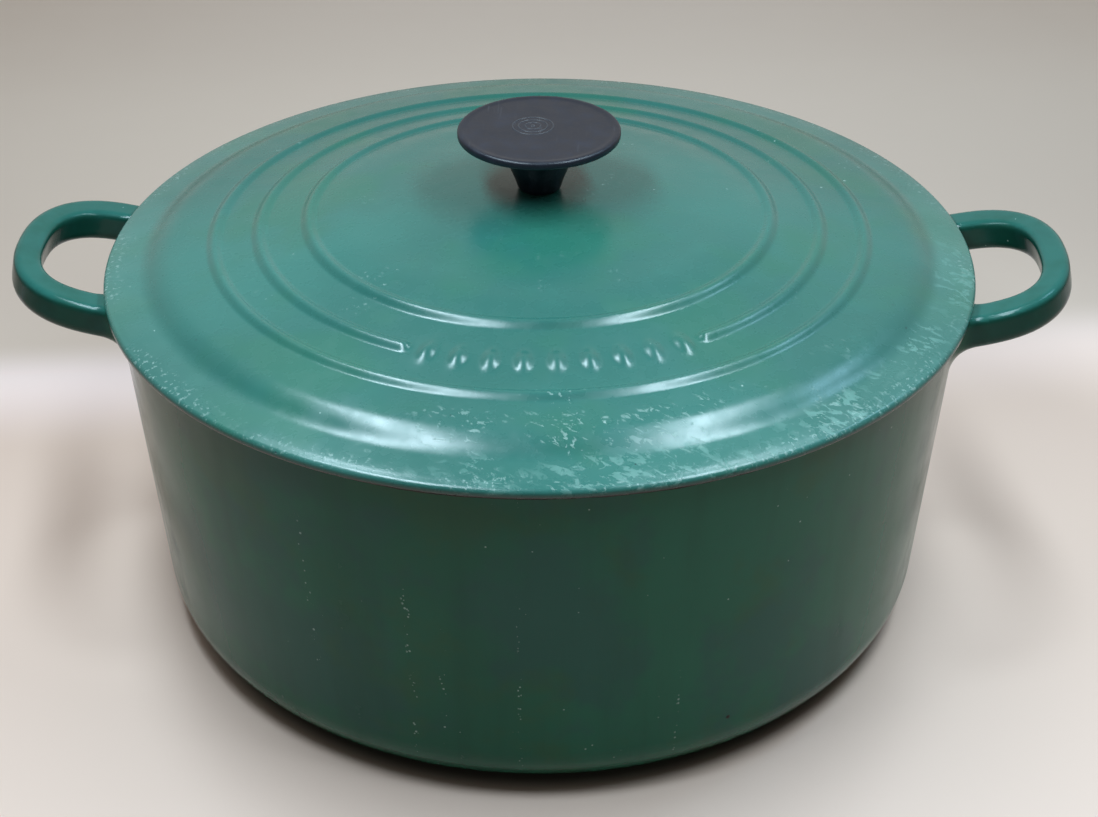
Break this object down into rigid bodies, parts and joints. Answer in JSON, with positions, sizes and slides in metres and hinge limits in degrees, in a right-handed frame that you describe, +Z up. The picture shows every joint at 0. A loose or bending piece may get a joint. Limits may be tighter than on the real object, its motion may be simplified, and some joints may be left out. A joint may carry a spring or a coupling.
{
  "type": "covered casserole dish",
  "caption": "Round enamelled cast-iron casserole with two cast loop handles and a lift-off domed lid that turns on its rim and has a screwed-on knob.",
  "frame": {"origin": "on the table under the middle of the pot's flat base", "axes": "+Z up along the pot's axis, +X through the middle of one loop handle, +Y across; the lid's open ring faces -Y at rest"},
  "size_m": [0.3776, 0.308, 0.1819],
  "materials": {
    "pot_enamel": "gloss blue-green vitreous enamel over cast iron, cream enamel inside, bare dark rim",
    "lid_enamel": "gloss blue-green vitreous enamel over cast iron, scuffed along the flange",
    "knob_phenolic": "black phenolic resin, satin, slightly greyed by use",
    "insert_brass": "plain brass sleeve moulded into the knob",
    "washer_steel": "plain plated steel",
    "screw_steel": "plain plated steel"
  },
  "bodies": {
    "pot": {"pot": "pot_enamel"},
    "washer": {"lid_washer": "washer_steel"},
    "lid": {"lid": "lid_enamel", "knob": "knob_phenolic", "knob_insert": "insert_brass", "lid_screw": "screw_steel"}
  },
  "joints": [
    {"name": "lid_lift", "type": "slide", "parent": "pot", "child": "washer", "axis": [0, 0, 1], "range_m": [0, 0.2]},
    {"name": "lid_turn", "type": "hinge", "parent": "washer", "child": "lid", "pos_m": [0, 0, 0.154], "axis": [0, 0, 1], "continuous": true}
  ]
}
